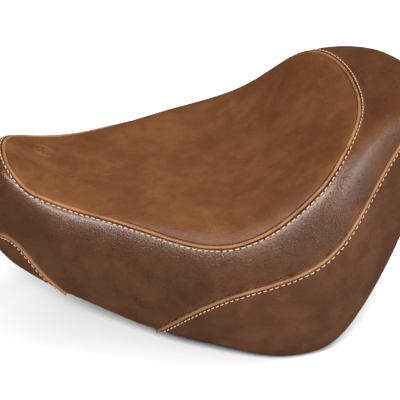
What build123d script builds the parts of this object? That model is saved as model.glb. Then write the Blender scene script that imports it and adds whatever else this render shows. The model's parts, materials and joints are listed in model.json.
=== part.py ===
from build123d import *
import os
from bisect import bisect_right
from math import cos, pi, sqrt

os.makedirs("parts", exist_ok=True)

# Solo motorcycle saddle. +X points to the rear of the machine, -Y to the rider's left, +Z up.
# X = 0 is the middle of the seat's length and Z = 0 is the level the two rear skirts stand on.

# ---------------------------------------------------------------- outer shape (mm)
X_NOSE = -273.8
X_TAIL = 275.0
STATIONS = 9                       # equally spaced stations from nose to tail carry the values below
HALF_WIDTH = (57.0, 85.0, 115.0, 146.5, 175.0, 177.5, 162.5, 128.5, 100.5)
SHOULDER_Z = (240.0, 202.0, 190.0, 190.0, 192.0, 213.5, 259.5, 285.0, 306.5)
DISH_DEPTH = (-12.0, -4.0, 4.5, 10.0, 12.0, 9.5, 4.5, -0.5, -5.0)
BOTTOM_Z = (97.5, 74.5, 50.0, 29.5, 21.0, 0.5, 12.5, 78.0, 132.5)
INSERT_FRACTION = (0.81, 0.87, 0.92, 0.98, 0.99, 0.96, 0.91, 0.81, 0.71)

REST_LEVEL = -2.0                  # the bottom edge flattens towards this level where the seat stands
REST_BLEND = 4.0
TUCK_IN = 0.92                     # width at the bottom edge over width at the shoulder
NOSE_ROUND = 93.0                  # plan length of the rounded nose
TAIL_ROUND = 162.0                 # plan length of the rounded tail
NOSE_POWER = 2.15
TAIL_POWER = 1.95
NOSE_DROP = 32.5                   # length over which the top rolls down at the nose
TAIL_DROP = 92.5                   # length over which top and bottom close at the tail
NOSE_CLOSE_Z = 106.0
TAIL_CLOSE_Z = 222.0

# ---------------------------------------------------------------- seams
INSERT_FRONT_X = -247.0
INSERT_REAR_X = 178.5
INSERT_FRONT_ROUND = 40.0
INSERT_REAR_ROUND = 74.5
INSERT_FRONT_POWER = 2.2
INSERT_REAR_POWER = 2.4
REAR_SEAM = ((-11.0, 105.5), (60.0, 131.0), (131.5, 165.0), (202.5, 240.5), (274.0, 256.5))
REAR_SEAM_START_X = -82.5
NOSE_SEAM = ((-274.0, 122.5), (-244.5, 130.5), (-215.0, 98.0))
NOSE_SEAM_END_X = -185.5

COVER = 3.0                        # leather with its scrim backing
WELT_WIDTH = 3.6                   # folded leather ridge beside a seam
WELT_HEIGHT = 1.2                  # how far it stands over the cover
THREAD_RADIUS = 0.5
THREAD_LIFT = 0.75                 # middle of the thread over the cover
INSERT_STITCH_GAP = 2.6            # seam to the row of stitches
SKIRT_STITCH_GAP = 5.8
THREAD_START = 1.0                 # each half row round the insert starts this far from the middle

# ---------------------------------------------------------------- moulded base and hardware
PAD_TOP = 55.0                     # foam over the base
PAD_SIDE = 22.0
PAD_EDGE = 12.0
PAD_NOSE = 20.0
PAD_TAIL = 18.0
PAN = 4.0                          # base wall
HEM_STRIP = 2.0                    # strip that holds the folded hem inside the base
HEM_STRIP_HEIGHT = 12.0

BOSS_RADIUS = 13.0
INSERT_NUT_RADIUS = 4.5
INSERT_NUT_LENGTH = 10.0
BOLT_RADIUS = 3.0
BOLT_HEAD_RADIUS = 5.2
BOLT_HEAD_HEIGHT = 3.6
BOLT_GRIP = 11.0                   # bolt shank beyond the plate and washer
BOLT_CLEARANCE = 3.3
WASHER_RADIUS = 6.5
WASHER = 1.5
PLATE = 3.0                        # tongue and tab sheet

TONGUE_TOP_Z = 119.0
TONGUE_BOLTS_X = (-186.0, -158.0)
TONGUE_FRONT_X = -236.0
TONGUE_REAR_X = -140.0
TONGUE_HALF_WIDTH = 21.0
TONGUE_FRONT_RADIUS = 16.0
TONGUE_SLOT_RADIUS = 6.0
TONGUE_SLOT_X = -218.0

TAB_TOP_Z = 198.0
TAB_BOLTS_X = (158.0, 182.0)
TAB_FRONT_X = 144.0
TAB_BEND_X = 198.0
TAB_FOOT_X = 228.0
TAB_FOOT_TOP_Z = 150.0
TAB_END_X = 272.0
TAB_HALF_WIDTH = 16.0
TAB_HOLE_X = 260.0
TAB_HOLE_RADIUS = 3.3

BUMPER_RADIUS = 12.0
BUMPER_HEIGHT = 12.0
BUMPER_RECESS_RADIUS = 6.0
BUMPER_RECESS = 6.0
SCREW_RADIUS = 2.5
SCREW_HEAD_RADIUS = 4.8
SCREW_HEAD = 3.2
SCREW_GRIP = 8.0                   # screw shank inside the boss
FRONT_BUMPERS = (-110.0, 48.0, 110.0)    # x, half spacing, level of the boss face
MIDDLE_BUMPERS = (15.0, 88.0, 110.0)
REAR_BUMPERS = (112.0, 66.0, 160.0)

RIVETS_X = (-205.0, -150.0, -90.0, -25.0, 40.0, 105.0, 165.0)
RIVET_RISE = 10.0                  # rivet height over the bottom edge
RIVET_RADIUS = 2.0
RIVET_HEAD_RADIUS = 4.0
RIVET_HEAD = 1.6
RIVET_REACH = 9.0

TIP_ROOM = 0.5                     # hole depth beyond the tip of a screw or bolt
SOCKET_RADIUS = 2.6
SOCKET_DEPTH = 2.0
TAB_END_RADIUS = 10.0
BUMPER_EDGE = 1.5

BELOW = -60.0                      # tools run down to here, well under the seat
ABOVE = 400.0
SIDE = 260.0
CUT_UNDER = 14.0                   # depth of the insert cut below the cover
CUT_OVER = 25.0
OVERRUN = 4.0                      # seam tools run past the edge of the cover by this much
WELT_STOP = 2.0                    # welts and stitches end this far above the bottom edge


def natural_spline(xs, ys):
    """Cubic spline through the given stations with free ends."""
    n = len(xs)
    h = [xs[i + 1] - xs[i] for i in range(n - 1)]
    curve = [0.0] * n
    diag = [1.0] * n
    rhs = [0.0] * n
    upper = [0.0] * n
    for i in range(1, n - 1):
        slope_step = (ys[i + 1] - ys[i]) / h[i] - (ys[i] - ys[i - 1]) / h[i - 1]
        diag[i] = 2 * (h[i - 1] + h[i]) - h[i - 1] * upper[i - 1]
        upper[i] = h[i] / diag[i]
        rhs[i] = (6 * slope_step - h[i - 1] * rhs[i - 1]) / diag[i]
    for i in range(n - 2, 0, -1):
        curve[i] = rhs[i] - upper[i] * curve[i + 1]

    def value(x):
        i = min(max(bisect_right(xs, x) - 1, 0), n - 2)
        a = (xs[i + 1] - x) / h[i]
        b = (x - xs[i]) / h[i]
        bend = ((a**3 - a) * curve[i] + (b**3 - b) * curve[i + 1]) * h[i] ** 2 / 6
        return a * ys[i] + b * ys[i + 1] + bend

    return value


station_x = [X_NOSE + (X_TAIL - X_NOSE) * i / (STATIONS - 1) for i in range(STATIONS)]
half_width = natural_spline(station_x, HALF_WIDTH)
shoulder_z = natural_spline(station_x, SHOULDER_Z)
dish_depth = natural_spline(station_x, DISH_DEPTH)
bottom_spline = natural_spline(station_x, BOTTOM_Z)
insert_fraction = natural_spline(station_x, INSERT_FRACTION)


def bottom_z(x):
    """Bottom edge height, flattened softly where the seat stands."""
    over = bottom_spline(x) - REST_LEVEL
    return REST_LEVEL + (over + sqrt(over * over + REST_BLEND * REST_BLEND)) / 2


def round_off(distance, length, power):
    """1 away from an end, falling to 0 at the end like a superellipse."""
    q = min(max(1 - distance / length, 0.0), 1.0)
    return max(1 - q**power, 0.0) ** (1 / power)


def spline_basis(controls, count):
    """Clamped uniform cubic B-spline weights at evenly spaced parameters."""
    knots = [0.0] * 3 + [i / (controls - 3) for i in range(controls - 2)] + [1.0] * 3
    rows = []
    for k in range(count):
        t = min(k / (count - 1), 1 - 1e-9)
        weights = [1.0 if knots[i] <= t < knots[i + 1] else 0.0 for i in range(controls + 3)]
        for degree in range(1, 4):
            lifted = []
            for i in range(controls + 3 - degree):
                left = knots[i + degree] - knots[i]
                right = knots[i + degree + 1] - knots[i + 1]
                low = (t - knots[i]) / left * weights[i] if left > 0 else 0.0
                high = (knots[i + degree + 1] - t) / right * weights[i + 1] if right > 0 else 0.0
                lifted.append(low + high)
            weights = lifted
        rows.append(weights)
    return rows


SECTION_POINTS = 21
SECTION_BASIS = spline_basis(11, SECTION_POINTS)
SECTION_PARAMETERS = [k / (SECTION_POINTS - 1) for k in range(SECTION_POINTS)]
FINE_BASIS = spline_basis(11, 161)


def blend(half_controls, basis):
    """Points of the mirrored section whose right half has these control points."""
    mirrored = [(-y, z) for y, z in reversed(half_controls[1:])]
    controls = mirrored + half_controls
    points = []
    for row in basis:
        y = sum(weight * control[0] for weight, control in zip(row, controls))
        z = sum(weight * control[1] for weight, control in zip(row, controls))
        points.append((y, z))
    return points


def cover_section(x, inset, basis=SECTION_BASIS):
    """Left edge, over the top, to the right edge; inset is the depth below the leather surface."""
    width = half_width(x) - inset
    low = bottom_z(x) + inset
    shoulder = shoulder_z(x) - inset
    depth = dish_depth(x)
    height = shoulder - low
    from_nose = x - X_NOSE - inset
    from_tail = X_TAIL - inset - x
    plan = round_off(from_nose, NOSE_ROUND - inset, NOSE_POWER)
    plan *= round_off(from_tail, TAIL_ROUND - inset, TAIL_POWER)
    drop = round_off(from_nose, NOSE_DROP - inset, 2.0)
    close = round_off(from_tail, TAIL_DROP - inset, 2.0)
    half = [
        (0.0, shoulder - depth),
        (0.42 * width, shoulder - 0.9 * depth),
        (0.80 * width, shoulder + 0.02 * height),
        (1.06 * width, shoulder - 0.06 * height),
        (1.07 * width, shoulder - 0.58 * height),
        (TUCK_IN * width, low),
    ]
    closed = []
    for y, z in half:
        nosed = NOSE_CLOSE_Z + (z - NOSE_CLOSE_Z) * drop
        closed.append((y * plan, TAIL_CLOSE_Z + (nosed - TAIL_CLOSE_Z) * close))
    return blend(closed, basis)


def base_section(x, wall):
    """Arch of the moulded base; wall is the depth below its foam side."""
    cover_width = half_width(x) - COVER
    side = cover_width - PAD_SIDE - wall
    edge = TUCK_IN * cover_width - PAD_EDGE - wall
    low = bottom_z(x)
    roof = shoulder_z(x) - dish_depth(x) - PAD_TOP - wall
    height = roof - low
    from_nose = x - X_NOSE - PAD_NOSE - wall
    from_tail = X_TAIL - PAD_TAIL - wall - x
    plan = round_off(from_nose, NOSE_ROUND - PAD_NOSE - wall, NOSE_POWER)
    plan *= round_off(from_tail, TAIL_ROUND - PAD_TAIL - wall, TAIL_POWER)
    half = [
        (0.0, roof),
        (0.45 * side, roof),
        (0.86 * side, roof - 0.02 * height),
        (1.04 * side, roof - 0.32 * height),
        (edge, low + 0.1 * height),
        (edge, BELOW),
    ]
    return blend([(y * plan, z) for y, z in half], SECTION_BASIS)


NOSE_FAN = (0.4, 1.8, 4.5, 9.0, 15.0, 22.0, 30.0, 41.0, 58.0, 82.0)
TAIL_FAN = (103.0, 75.0, 52.0, 34.0, 20.0, 10.0, 3.5, 0.4)
MIDDLE_STATIONS = 11


def fan(first, last):
    """Loft stations, closer together where the ends round off."""
    nose = [first + gap for gap in NOSE_FAN]
    tail = [last - gap for gap in TAIL_FAN]
    step = (tail[0] - nose[-1]) / (MIDDLE_STATIONS + 1)
    middle = [nose[-1] + step * (i + 1) for i in range(MIDDLE_STATIONS)]
    return nose + middle + tail


def lofted(sections):
    """Solid through closed sections, each given as its x and its points."""
    with BuildPart() as solid:
        for x, points in sections:
            with BuildSketch(Plane.YZ.offset(x)):
                with BuildLine():
                    corners = [Vector(y, z) for y, z in points]
                    add(Edge.make_spline(corners, parameters=SECTION_PARAMETERS))
                    Line(points[-1], points[0])
                make_face()
        loft()
    return solid.part


def cover_solid(inset):
    return lofted([(x, cover_section(x, inset)) for x in fan(X_NOSE + inset, X_TAIL - inset)])


def base_solid(wall):
    stations = fan(X_NOSE + PAD_NOSE + wall, X_TAIL - PAD_TAIL - wall)
    return lofted([(x, base_section(x, wall)) for x in stations])


def insert_half(x, grow):
    """Half width of the insert seam in plan; its two ends are moved outwards by grow."""
    y = half_width(x) * insert_fraction(x)
    y *= round_off(x - INSERT_FRONT_X + grow, INSERT_FRONT_ROUND + grow, INSERT_FRONT_POWER)
    return y * round_off(INSERT_REAR_X + grow - x, INSERT_REAR_ROUND + grow, INSERT_REAR_POWER)


def insert_corner(x, grow, inset):
    """Right seam point at x, moved outwards along the cover by grow, and the cover's normal there."""
    points = cover_section(x, inset, FINE_BASIS)
    right = points[len(points) // 2:]
    y = insert_half(x, grow)
    steps = list(zip(right, right[1:]))
    travel = 0.0
    seam_travel = None
    for (y0, z0), (y1, z1) in steps:
        length = sqrt((y1 - y0) ** 2 + (z1 - z0) ** 2)
        if seam_travel is None and y0 <= y <= y1:
            seam_travel = travel + length * (y - y0) / (y1 - y0)
        travel += length
    target = max(seam_travel + grow, 0.0)
    travel = 0.0
    for (y0, z0), (y1, z1) in steps:
        length = sqrt((y1 - y0) ** 2 + (z1 - z0) ** 2)
        if travel + length >= target:
            part = (target - travel) / length
            point = (y0 + (y1 - y0) * part, z0 + (z1 - z0) * part)
            return point, ((z0 - z1) / length, (y1 - y0) / length)
        travel += length
    raise ValueError("seam point left the section")


def insert_path(grow, inset):
    """Points grow outside the right half of the insert seam, from the nose to the rear."""
    count = 28
    front = INSERT_FRONT_X - grow
    rear = INSERT_REAR_X + grow
    right = []
    for i in range(1, count):
        x = front + (rear - front) * (1 - cos(pi * i / count)) / 2
        point, normal = insert_corner(x, grow, inset)
        right.append((x, point[0], point[1]))
    first = (front, THREAD_START, top_height(front, 0.0, inset))
    last = (rear, THREAD_START, top_height(rear, 0.0, inset))
    return [first] + right + [last]


def seam_height(stations):
    """Side-view height of a seam as a function of x."""
    return natural_spline([x for x, z in stations], [z for x, z in stations])


rear_seam = seam_height(((REAR_SEAM_START_X, bottom_z(REAR_SEAM_START_X)),) + REAR_SEAM)
nose_seam = seam_height(NOSE_SEAM + ((NOSE_SEAM_END_X, bottom_z(NOSE_SEAM_END_X)),))


def lowered(seam, x, drop):
    """Height at x of a line that runs drop below the seam, square to it."""
    slope = seam(x + 0.5) - seam(x - 0.5)
    return seam(x) - drop * sqrt(1 + slope * slope)


def top_height(x, y, inset):
    """Height of the top of the cover above a plan point."""
    points = cover_section(x, inset, FINE_BASIS)
    right = points[len(points) // 2:]
    for (y0, z0), (y1, z1) in zip(right, right[1:]):
        if y0 <= abs(y) <= y1:
            return z0 + (z1 - z0) * (abs(y) - y0) / (y1 - y0)
    return right[-1][1]


def wall_reach(x, z, inset):
    """Half width of the cover at height z, 0 where the cover is lower than z."""
    points = cover_section(x, inset, FINE_BASIS)
    right = points[len(points) // 2:][::-1]
    for (y0, z0), (y1, z1) in zip(right, right[1:]):
        if z0 <= z <= z1:
            return y0 + (y1 - y0) * (z - z0) / (z1 - z0)
    return 0.0


def closing_x(seam, inside, outside, drop, inset):
    """Where the lowered seam crosses the middle of the seat, between two x values."""
    for step in range(30):
        middle = (inside + outside) / 2
        if wall_reach(middle, lowered(seam, middle, drop), inset) > 0:
            inside = middle
        else:
            outside = middle
    return inside


def edge_x(seam, inside, outside, drop):
    """Where the lowered seam comes down to just above the bottom edge."""
    for step in range(30):
        middle = (inside + outside) / 2
        if lowered(seam, middle, drop) > bottom_z(middle) + WELT_STOP:
            inside = middle
        else:
            outside = middle
    return inside


def round_trip(seam, start, finish, drop, inset):
    """From the left bottom edge at start, across the middle at finish, to the right bottom edge."""
    count = 20
    left = []
    for i in range(count):
        x = finish + (start - finish) * (1 - i / count) ** 2
        z = lowered(seam, x, drop)
        left.append((x, -wall_reach(x, z, inset), z))
    right = [(x, -y, z) for x, y, z in reversed(left)]
    return left + [(finish, 0.0, lowered(seam, finish, drop))] + right


def rear_path(drop, inset):
    start = edge_x(rear_seam, 0.0, REAR_SEAM_START_X, drop)
    finish = closing_x(rear_seam, 180.0, X_TAIL - inset, drop, inset)
    return round_trip(rear_seam, start, finish, drop, inset)


def nose_path(drop, inset):
    start = edge_x(nose_seam, -240.0, NOSE_SEAM_END_X, drop)
    finish = closing_x(nose_seam, -240.0, X_NOSE + inset, drop, inset)
    return round_trip(nose_seam, start, finish, drop, inset)


def seam_points(seam, first, last, drop):
    """Side-view points along a seam lowered by drop."""
    count = 16
    xs = [first + (last - first) * i / count for i in range(count + 1)]
    return [(x, lowered(seam, x, drop)) for x in xs]


def insert_tool(grow):
    """Everything over the insert, cut square to the cover along the seam grown by grow."""
    with BuildPart() as solid:
        for x in fan(INSERT_FRONT_X - grow, INSERT_REAR_X + grow):
            (y, z), (normal_y, normal_z) = insert_corner(x, grow, 0.0)
            under = min(CUT_UNDER, 0.7 * y / max(normal_y, 0.1))
            low_y = y - under * normal_y
            low_z = z - under * normal_z
            out_y = y + CUT_OVER * normal_y
            out_z = z + CUT_OVER * normal_z
            right = [(low_y, low_z), (out_y, out_z), (out_y, ABOVE)]
            left = [(-corner_y, corner_z) for corner_y, corner_z in reversed(right)]
            with BuildSketch(Plane.YZ.offset(x)):
                with BuildLine():
                    Polyline(*right, *left, close=True)
                make_face()
        loft()
    return solid.part


def rear_tool(drop):
    """Everything below the rear skirt seam lowered by drop."""
    points = seam_points(rear_seam, REAR_SEAM_START_X - OVERRUN, REAR_SEAM[-1][0] + OVERRUN, drop)
    with BuildPart() as slab:
        with BuildSketch(Plane.XZ):
            with BuildLine():
                edge = Spline(*points)
                far = X_TAIL + 2 * OVERRUN
                Polyline(edge @ 1, (far, points[-1][1]), (far, BELOW), (points[0][0], BELOW), edge @ 0)
            make_face()
        extrude(amount=SIDE, both=True)
    return slab.part


def nose_tool(drop):
    """Everything below the nose skirt seam lowered by drop."""
    points = seam_points(nose_seam, NOSE_SEAM[0][0] - OVERRUN, NOSE_SEAM_END_X + OVERRUN, drop)
    with BuildPart() as slab:
        with BuildSketch(Plane.XZ):
            with BuildLine():
                edge = Spline(*points)
                far = X_NOSE - 2 * OVERRUN
                Polyline(edge @ 1, (points[-1][0], BELOW), (far, BELOW), (far, points[0][1]), edge @ 0)
            make_face()
        extrude(amount=SIDE, both=True)
    return slab.part


def edge_tool(rise):
    """Everything lower than the bottom edge raised by rise."""
    points = [(x, cover_section(x, 0.0)[0][1] + rise) for x in fan(X_NOSE, X_TAIL)]
    with BuildPart() as slab:
        with BuildSketch(Plane.XZ):
            with BuildLine():
                edge = Spline(*points)
                nose = X_NOSE - OVERRUN
                tail = X_TAIL + OVERRUN
                right = [(tail, points[-1][1]), (tail, BELOW)]
                left = [(nose, BELOW), (nose, points[0][1])]
                Polyline(edge @ 1, *right, *left, edge @ 0)
            make_face()
        extrude(amount=SIDE, both=True)
    return slab.part


def base_wall(x, z, wall):
    """Half width of the base at height z, wall deep, and the wall's direction in plan."""
    reach = []
    for place in (x - 1.0, x, x + 1.0):
        points = base_section(place, wall)
        right = points[len(points) // 2:][::-1]
        for (y0, z0), (y1, z1) in zip(right, right[1:]):
            if z0 <= z <= z1:
                reach.append(y0 + (y1 - y0) * (z - z0) / (z1 - z0))
                break
    return reach[1], (reach[2] - reach[0]) / 2


outer = cover_solid(0.0)
inner = cover_solid(COVER)
welt_outside = cover_solid(-WELT_HEIGHT)
base_outside = base_solid(0.0)
base_inside = base_solid(PAN)
strip_inside = base_solid(PAN + HEM_STRIP)
insert_region = insert_tool(0.0)
insert_trimmed = insert_tool(-WELT_WIDTH)
rear_region = rear_tool(0.0)
rear_trimmed = rear_tool(WELT_WIDTH)
nose_region = nose_tool(0.0)
nose_trimmed = nose_tool(WELT_WIDTH)

# ---------------------------------------------------------------- leather cover
with BuildPart() as cover:
    add(outer)
    add(base_inside, mode=Mode.SUBTRACT)
    add(inner, mode=Mode.SUBTRACT)

with BuildPart() as seat_insert_panel:
    add(cover.part)
    add(insert_trimmed, mode=Mode.INTERSECT)

with BuildPart() as rear_skirt_panel:
    add(cover.part)
    add(rear_trimmed, mode=Mode.INTERSECT)

with BuildPart() as nose_skirt_panel:
    add(cover.part)
    add(nose_trimmed, mode=Mode.INTERSECT)

with BuildPart() as side_band_panel:
    add(cover.part)
    add(insert_region, mode=Mode.SUBTRACT)
    add(rear_region, mode=Mode.SUBTRACT)
    add(nose_region, mode=Mode.SUBTRACT)

# ---------------------------------------------------------------- welts sewn into the seams
with BuildPart() as insert_welt:
    add(welt_outside)
    add(insert_region, mode=Mode.INTERSECT)
    add(insert_trimmed, mode=Mode.SUBTRACT)
    add(inner, mode=Mode.SUBTRACT)

with BuildPart() as rear_skirt_welt:
    add(welt_outside)
    add(rear_region, mode=Mode.INTERSECT)
    add(rear_trimmed, mode=Mode.SUBTRACT)
    add(base_inside, mode=Mode.SUBTRACT)
    add(inner, mode=Mode.SUBTRACT)

with BuildPart() as nose_skirt_welt:
    add(welt_outside)
    add(nose_region, mode=Mode.INTERSECT)
    add(nose_trimmed, mode=Mode.SUBTRACT)
    add(base_inside, mode=Mode.SUBTRACT)
    add(inner, mode=Mode.SUBTRACT)

# ---------------------------------------------------------------- rows of stitches
with BuildPart() as insert_topstitch:
    with BuildLine() as path:
        Spline(*insert_path(INSERT_STITCH_GAP, -THREAD_LIFT))
    with BuildSketch(Plane(origin=path.line @ 0, z_dir=path.line % 0)):
        Circle(THREAD_RADIUS)
    sweep()
    mirror(about=Plane.XZ)

with BuildPart() as rear_skirt_topstitch:
    with BuildLine() as path:
        Spline(*rear_path(SKIRT_STITCH_GAP, -THREAD_LIFT))
    with BuildSketch(Plane(origin=path.line @ 0, z_dir=path.line % 0)):
        Circle(THREAD_RADIUS)
    sweep()

with BuildPart() as nose_skirt_topstitch:
    with BuildLine() as path:
        Spline(*nose_path(SKIRT_STITCH_GAP, -THREAD_LIFT))
    with BuildSketch(Plane(origin=path.line @ 0, z_dir=path.line % 0)):
        Circle(THREAD_RADIUS)
    sweep()

# ---------------------------------------------------------------- foam, base and hem strip
rivet_places = []
for rivet_x in RIVETS_X:
    rivet_z = bottom_z(rivet_x) + RIVET_RISE
    rivet_y, lean = base_wall(rivet_x, rivet_z, PAN + HEM_STRIP)
    for hand in (-1, 1):
        rivet_places.append(Plane(origin=(rivet_x, hand * rivet_y, rivet_z), z_dir=(-lean, hand, 0)))

with BuildPart() as hem_rivets:
    for place in rivet_places:
        with Locations(place):
            Cylinder(RIVET_HEAD_RADIUS, RIVET_HEAD)
            Cylinder(RIVET_RADIUS, RIVET_REACH, align=(Align.CENTER, Align.CENTER, Align.MIN))

with BuildPart() as foam_core:
    add(inner)
    add(base_outside, mode=Mode.SUBTRACT)
    add(hem_rivets.part, mode=Mode.SUBTRACT)

bumper_places = []
for row_x, half_spacing, level in (FRONT_BUMPERS, MIDDLE_BUMPERS, REAR_BUMPERS):
    for hand in (-1, 1):
        bumper_places.append((row_x, hand * half_spacing, level))
tongue_bolt_places = [(x, 0.0, TONGUE_TOP_Z) for x in TONGUE_BOLTS_X]
tab_bolt_places = [(x, 0.0, TAB_TOP_Z) for x in TAB_BOLTS_X]
bolt_places = tongue_bolt_places + tab_bolt_places
UP = (Align.CENTER, Align.CENTER, Align.MIN)
DOWN = (Align.CENTER, Align.CENTER, Align.MAX)

with BuildPart() as bosses:
    with Locations(*bolt_places, *bumper_places):
        Cylinder(BOSS_RADIUS, ABOVE, align=UP)
    add(base_solid(PAN / 2), mode=Mode.INTERSECT)

with BuildPart() as baseplate:
    add(inner)
    add(base_outside, mode=Mode.INTERSECT)
    add(base_inside, mode=Mode.SUBTRACT)
    add(bosses.part)
    with Locations(*bolt_places):
        Cylinder(INSERT_NUT_RADIUS, INSERT_NUT_LENGTH, align=UP, mode=Mode.SUBTRACT)
        Cylinder(BOLT_RADIUS, BOLT_GRIP + TIP_ROOM, align=UP, mode=Mode.SUBTRACT)
    with Locations(*bumper_places):
        Cylinder(SCREW_RADIUS, SCREW_GRIP + TIP_ROOM, align=UP, mode=Mode.SUBTRACT)
    add(hem_rivets.part, mode=Mode.SUBTRACT)

with BuildPart() as hem_strip:
    add(base_inside)
    add(edge_tool(COVER + HEM_STRIP_HEIGHT), mode=Mode.INTERSECT)
    add(edge_tool(COVER), mode=Mode.SUBTRACT)
    add(strip_inside, mode=Mode.SUBTRACT)
    add(hem_rivets.part, mode=Mode.SUBTRACT)

# ---------------------------------------------------------------- mounting hardware
with BuildPart() as boss_inserts:
    with Locations(*bolt_places):
        Cylinder(INSERT_NUT_RADIUS, INSERT_NUT_LENGTH, align=UP)
        Cylinder(BOLT_RADIUS, INSERT_NUT_LENGTH, align=UP, mode=Mode.SUBTRACT)

with BuildPart() as front_tongue:
    with BuildSketch(Plane.XY.offset(TONGUE_TOP_Z)) as tongue_outline:
        tongue_length = TONGUE_REAR_X - TONGUE_FRONT_X
        with Locations((TONGUE_FRONT_X, 0)):
            Rectangle(tongue_length, 2 * TONGUE_HALF_WIDTH, align=(Align.MIN, Align.CENTER))
        fillet(tongue_outline.vertices().group_by(Axis.X)[0], radius=TONGUE_FRONT_RADIUS)
        slot_length = TONGUE_SLOT_X - TONGUE_FRONT_X
        with Locations((TONGUE_FRONT_X, 0)):
            slot = (Align.MIN, Align.CENTER)
            Rectangle(slot_length, 2 * TONGUE_SLOT_RADIUS, align=slot, mode=Mode.SUBTRACT)
        with Locations((TONGUE_SLOT_X, 0)):
            Circle(TONGUE_SLOT_RADIUS, mode=Mode.SUBTRACT)
        with Locations(*[(x, 0) for x in TONGUE_BOLTS_X]):
            Circle(BOLT_CLEARANCE, mode=Mode.SUBTRACT)
    extrude(amount=-PLATE)

tab_drop = TAB_TOP_Z - TAB_FOOT_TOP_Z
tab_run = TAB_FOOT_X - TAB_BEND_X
bend = PLATE * (sqrt(tab_drop**2 + tab_run**2) - tab_run) / tab_drop
tab_top = [
    (TAB_FRONT_X, TAB_TOP_Z),
    (TAB_BEND_X, TAB_TOP_Z),
    (TAB_FOOT_X, TAB_FOOT_TOP_Z),
    (TAB_END_X, TAB_FOOT_TOP_Z),
]
tab_under = [
    (TAB_END_X, TAB_FOOT_TOP_Z - PLATE),
    (TAB_FOOT_X - bend, TAB_FOOT_TOP_Z - PLATE),
    (TAB_BEND_X - bend, TAB_TOP_Z - PLATE),
    (TAB_FRONT_X, TAB_TOP_Z - PLATE),
]
with BuildPart() as rear_tab:
    with BuildSketch(Plane.XZ):
        with BuildLine():
            Polyline(*tab_top, *tab_under, close=True)
        make_face()
    extrude(amount=TAB_HALF_WIDTH, both=True)
    with Locations(*tab_bolt_places):
        Cylinder(BOLT_CLEARANCE, PLATE, align=DOWN, mode=Mode.SUBTRACT)
    with Locations((TAB_HOLE_X, 0, TAB_FOOT_TOP_Z)):
        Cylinder(TAB_HOLE_RADIUS, PLATE, align=DOWN, mode=Mode.SUBTRACT)
    fillet(rear_tab.edges().filter_by(Axis.Z).group_by(Axis.X)[-1], radius=TAB_END_RADIUS)

with BuildPart() as tongue_washers:
    with Locations(*[(x, y, z - PLATE) for x, y, z in tongue_bolt_places]):
        Cylinder(WASHER_RADIUS, WASHER, align=DOWN)
        Cylinder(BOLT_CLEARANCE, WASHER, align=DOWN, mode=Mode.SUBTRACT)

with BuildPart() as tongue_bolts:
    with Locations(*[(x, y, z - PLATE - WASHER) for x, y, z in tongue_bolt_places]):
        Cylinder(BOLT_HEAD_RADIUS, BOLT_HEAD_HEIGHT, align=DOWN)
        Cylinder(BOLT_RADIUS, WASHER + PLATE + BOLT_GRIP, align=UP)

with BuildPart() as rear_tab_washers:
    with Locations(*[(x, y, z - PLATE) for x, y, z in tab_bolt_places]):
        Cylinder(WASHER_RADIUS, WASHER, align=DOWN)
        Cylinder(BOLT_CLEARANCE, WASHER, align=DOWN, mode=Mode.SUBTRACT)

with BuildPart() as rear_tab_bolts:
    with Locations(*[(x, y, z - PLATE - WASHER) for x, y, z in tab_bolt_places]):
        Cylinder(BOLT_HEAD_RADIUS, BOLT_HEAD_HEIGHT, align=DOWN)
        Cylinder(BOLT_RADIUS, WASHER + PLATE + BOLT_GRIP, align=UP)

# hexagon sockets in the bolt heads
for bolts in (tongue_bolts, rear_tab_bolts):
    head_face_z = bolts.part.bounding_box().min.Z
    with bolts:
        with BuildSketch(Plane.XY.offset(head_face_z)):
            with Locations(*[(solid.center().X, 0) for solid in bolts.part.solids()]):
                RegularPolygon(SOCKET_RADIUS, 6)
        extrude(amount=SOCKET_DEPTH, mode=Mode.SUBTRACT)

# ---------------------------------------------------------------- rubber bumpers
bumper_parts = {}
for name, row in (("front", FRONT_BUMPERS), ("middle", MIDDLE_BUMPERS), ("rear", REAR_BUMPERS)):
    row_x, half_spacing, level = row
    with BuildPart() as bumpers:
        with Locations((row_x, half_spacing, level), (row_x, -half_spacing, level)):
            Cylinder(BUMPER_RADIUS, BUMPER_HEIGHT, align=DOWN)
        fillet(bumpers.edges().filter_by(GeomType.CIRCLE).group_by(Axis.Z)[0], radius=BUMPER_EDGE)
        with Locations((row_x, half_spacing, level), (row_x, -half_spacing, level)):
            Cylinder(SCREW_RADIUS, BUMPER_HEIGHT, align=DOWN, mode=Mode.SUBTRACT)
        foot = level - BUMPER_HEIGHT
        with Locations((row_x, half_spacing, foot), (row_x, -half_spacing, foot)):
            Cylinder(BUMPER_RECESS_RADIUS, BUMPER_RECESS, align=UP, mode=Mode.SUBTRACT)
    bumper_parts[name + "_bumpers"] = bumpers.part

screw_seats = [(x, y, level - BUMPER_HEIGHT + BUMPER_RECESS) for x, y, level in bumper_places]
with BuildPart() as bumper_screws:
    with Locations(*screw_seats):
        Cylinder(SCREW_HEAD_RADIUS, SCREW_HEAD, align=DOWN)
        Cylinder(SCREW_RADIUS, BUMPER_HEIGHT - BUMPER_RECESS + SCREW_GRIP, align=UP)

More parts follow.
